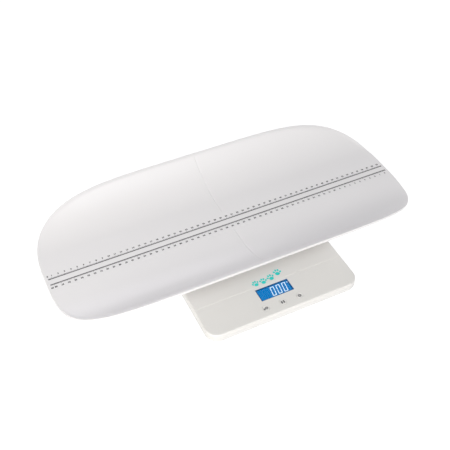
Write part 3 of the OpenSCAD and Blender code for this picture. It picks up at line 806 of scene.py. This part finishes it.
def build_batteries():
    """AAA cells: a printed wrapper curled over steel ends, with a coppery band at the negative end."""
    steel, dark, band = range(3)
    for name, way in BATTERIES:
        lo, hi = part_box("battery_" + name)
        r = (hi.y - lo.y) / 2
        length = hi.x - lo.x
        bm = bmesh.new()
        lathe(bm, battery_profile(r, length), (0, 0), 48)
        for face in bm.faces:
            middle = face.calc_center_median()
            wrapper = band if middle.z < BAND_SHARE * length else dark
            face.material_index = wrapper if math.hypot(middle.x, middle.y) > WRAPPER_SHARE * r else steel
        centre = Vector((0, (lo.y + hi.y) / 2, (lo.z + hi.z) / 2))
        lie = Matrix.Translation(centre) @ Matrix.Rotation(way * math.pi / 2, 4, "Y")
        bm.transform(lie @ Matrix.Translation((0, 0, -length / 2)))
        materials = [CELL_STEEL, WRAPPER_DARK, WRAPPER_BAND]
        add_piece("battery_cell_" + name, bm, materials, "base", ["battery_" + name], 50)


def spring_into(bm, face_x, y, z, side, reach):
    """Adds a coil spring that narrows from its contact plate to the battery."""
    points = []
    for k in range(SPRING_STEPS + 1):
        t = k / SPRING_STEPS
        a = 2 * math.pi * SPRING_TURNS * t
        radius = SPRING_R + t * (SPRING_END_R - SPRING_R)
        x = face_x - side * (WIRE_R + t * (reach - 2 * WIRE_R))
        points.append(Vector((x, y + radius * math.cos(a), z + radius * math.sin(a))))
    tube_into(bm, points, WIRE_R)


def pip_into(bm, face_x, y, z, side, reach):
    """Adds the raised pip that touches a battery's positive end."""
    profile = [(PIP_R, 0), (PIP_R, reach - PIP_CONE)]
    profile += arc(PIP_R - PIP_ROUND, reach - PIP_ROUND, PIP_ROUND, 0, 90, 4)
    turn = Matrix.Translation((face_x, y, z)) @ Matrix.Rotation(-side * math.pi / 2, 4, "Y")
    bmesh.ops.transform(bm, matrix=turn, verts=lathe(bm, profile, (0, 0), 32))


def build_contacts():
    """At each end of the batteries, gold plates with a pip for a plus end and a spring for a minus end."""
    pitch = middle_of("battery_middle").y - middle_of("battery_front").y
    half = (pitch - PLATE_GAP) / 2
    for side, label in ((-1, "left"), (1, "right")):
        node = "battery_contacts_" + label
        lo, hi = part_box(node)
        outer = lo.x if side < 0 else hi.x
        face_x = outer - side * PLATE_T
        x0, x1 = sorted((outer, face_x))
        reach = hi.x - lo.x - PLATE_T
        plates = bmesh.new()
        springs = bmesh.new()
        for name, way in BATTERIES:
            cell = middle_of("battery_" + name)
            low, high = cell.z - PLATE_HALF_H, cell.z + PLATE_HALF_H
            box_into(plates, (x0, cell.y - half, low), (x1, cell.y + half, high))
            if way == side:
                pip_into(plates, face_x, cell.y, cell.z, side, reach)
            else:
                spring_into(springs, face_x, cell.y, cell.z, side, reach)
        first = middle_of("battery_front" if side > 0 else "battery_middle")
        low, high = first.z + BRIDGE_UP - BRIDGE_HALF_H, first.z + BRIDGE_UP + BRIDGE_HALF_H
        box_into(plates, (x0, first.y, low), (x1, first.y + pitch, high))
        add_piece("contact_plates_" + label, plates, [CONTACT_GOLD], "base", [node])
        add_piece("contact_springs_" + label, springs, [CELL_STEEL], "base")


# ---------------------------------------------------------------- camera, light and floor
VIEW_AZIMUTH = math.radians(-25.94)
VIEW_ELEVATION = math.radians(45.17)
VIEW_DISTANCE = 1.207
VIEW_LENS = 60.24
AIM_LEFT = 5.5 * MM
AIM_DOWN = 7.3 * MM
LAMP_DISTANCE = 2.0
LAMP_SIZE = 1.5
# Each lamp's name, azimuth, elevation, power and colour
LAMPS = (("left_light", -80, 20, 6, (1.0, 0.97, 0.8)), ("key_light", -30, 30, 31, (1.0, 0.96, 0.92)),
         ("top_light", 0, 55, 11, (0.9, 0.96, 1.0)), ("back_light", 180, 20, 13, (0.97, 0.94, 1.0)))
FLOOR_REACH = 15.0
FLOOR_T = 0.02
FLOOR_GLOW = 0.88
WORLD_LIGHT = 0.455


def direction(azimuth, elevation):
    """The way from the scale towards a viewer or a lamp. Azimuth 0 is in front of the display."""
    flat = math.cos(elevation)
    return Vector((math.sin(azimuth) * flat, -math.cos(azimuth) * flat, math.sin(elevation)))


def place_facing(obj, spot, away):
    """Puts a camera or a lamp at a spot, turned to look back along a direction."""
    link(obj)
    obj.location = spot
    obj.rotation_mode = "QUATERNION"
    obj.rotation_quaternion = (-away).to_track_quat("-Z", "Y")


def make_camera():
    back = direction(VIEW_AZIMUTH, VIEW_ELEVATION)
    right = Vector((math.cos(VIEW_AZIMUTH), math.sin(VIEW_AZIMUTH), 0))
    up = back.cross(right)
    aim = Vector((0, TRAY_Y, FLOOR_Z)) - right * AIM_LEFT - up * AIM_DOWN
    data = bpy.data.cameras.new("camera")
    data.lens = VIEW_LENS
    data.sensor_width = 36
    data.clip_start = 0.01
    camera = bpy.data.objects.new("camera", data)
    place_facing(camera, aim + back * VIEW_DISTANCE, back)
    bpy.context.scene.camera = camera


def make_softbox(name, azimuth, elevation, power, colour):
    """A round soft light that faces the scale. Azimuth 90 is at the display's right."""
    away = direction(math.radians(azimuth), math.radians(elevation))
    data = bpy.data.lights.new(name, "AREA")
    data.shape = "DISK"
    data.size = LAMP_SIZE
    data.energy = power
    data.color = colour
    place_facing(bpy.data.objects.new(name, data), away * LAMP_DISTANCE, away)


def make_stage():
    """A plain pale floor that glows evenly, a white surround and four soft lights."""
    bm = bmesh.new()
    box_into(bm, (-FLOOR_REACH, -FLOOR_REACH, -FLOOR_T), (FLOOR_REACH, FLOOR_REACH, 0))
    floor = bm_object("floor", bm)
    paint = Paint("floor_white", (0.2, 0.2, 0.2), 0.95, Specular_IOR_Level=0.0)
    paint.shader.inputs["Emission Color"].default_value = (1, 1, 1, 1)
    paint.shader.inputs["Emission Strength"].default_value = FLOOR_GLOW
    floor.data.materials.append(paint.mottle(0.004, 2).material)
    world = bpy.data.worlds.new("studio")
    world.use_nodes = True
    world.node_tree.nodes["Background"].inputs["Color"].default_value = (1, 1, 1, 1)
    world.node_tree.nodes["Background"].inputs["Strength"].default_value = WORLD_LIGHT
    bpy.context.scene.world = world
    for lamp in LAMPS:
        make_softbox(*lamp)
    bpy.context.scene.view_settings.view_transform = "Standard"


# ---------------------------------------------------------------- the rest of the CAD nodes
# The start of the nodes' names, their material, and the round along their edges in millimetres
CAD_FINISHES = (
    ("base_top_cover", SHADED_BASE_WHITE, 0.25), ("base_bottom_cover", UNDER_WHITE, 0.25),
    ("battery_door", UNDER_WHITE, 0.25), ("tray_grommet", GROMMET_RUBBER, 0.25),
    ("case_screws", SCREW_STEEL, 0.15), ("board_screws", SCREW_STEEL, 0.1),
    ("load_cell", CELL_STEEL, 0.15), ("cell_carrier", CARRIER_GREY, 0.2),
    ("foot_front", FOOT_PLASTIC, 0.25), ("foot_rear", FOOT_PLASTIC, 0.25),
    ("lcd_frame", FRAME_GREY, 0.15), ("contact_strip", STRIP_RUBBER, 0.2),
    ("backlight", BACKLIGHT_WHITE, 0.2), ("main_board", BOARD_GREEN, 0),
    ("main_chip", CHIP_BLACK, 0.1), ("lead_connector", IVORY, 0.2),
    ("switch_plunger", PLUNGER_BLACK, 0.1), ("switch_body", SWITCH_GREY, 0.12),
    ("cell_lead", LEAD_GREY, 0), ("battery_lead", LEAD_RED, 0))


def finish_cad(node, material, edge_round):
    """Gives a CAD node its material, and a fine round along its edges."""
    node.data.materials.clear()
    node.data.materials.append(material)
    weld = node.modifiers.new("weld", "WELD")
    weld.merge_threshold = 0.001 * MM
    if edge_round:
        bevel = node.modifiers.new("round", "BEVEL")
        bevel.width = edge_round
        bevel.segments = 2
        bevel.limit_method = "ANGLE"
        bevel.angle_limit = math.radians(40)
    even = node.modifiers.new("even", "WEIGHTED_NORMAL")
    even.keep_sharp = True


make_camera()
make_stage()
build_tray()
build_tray_studs()
build_film()
build_ticks()
build_numbers()
build_lcd()
build_lcd_edge()
build_digits()
build_window()
build_keys()
build_mark()
build_foot_pads()
build_batteries()
build_contacts()
for start, material, edge_round in CAD_FINISHES:
    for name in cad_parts:
        if name.startswith(start):
            finish_cad(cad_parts[name], material, edge_round * MM)
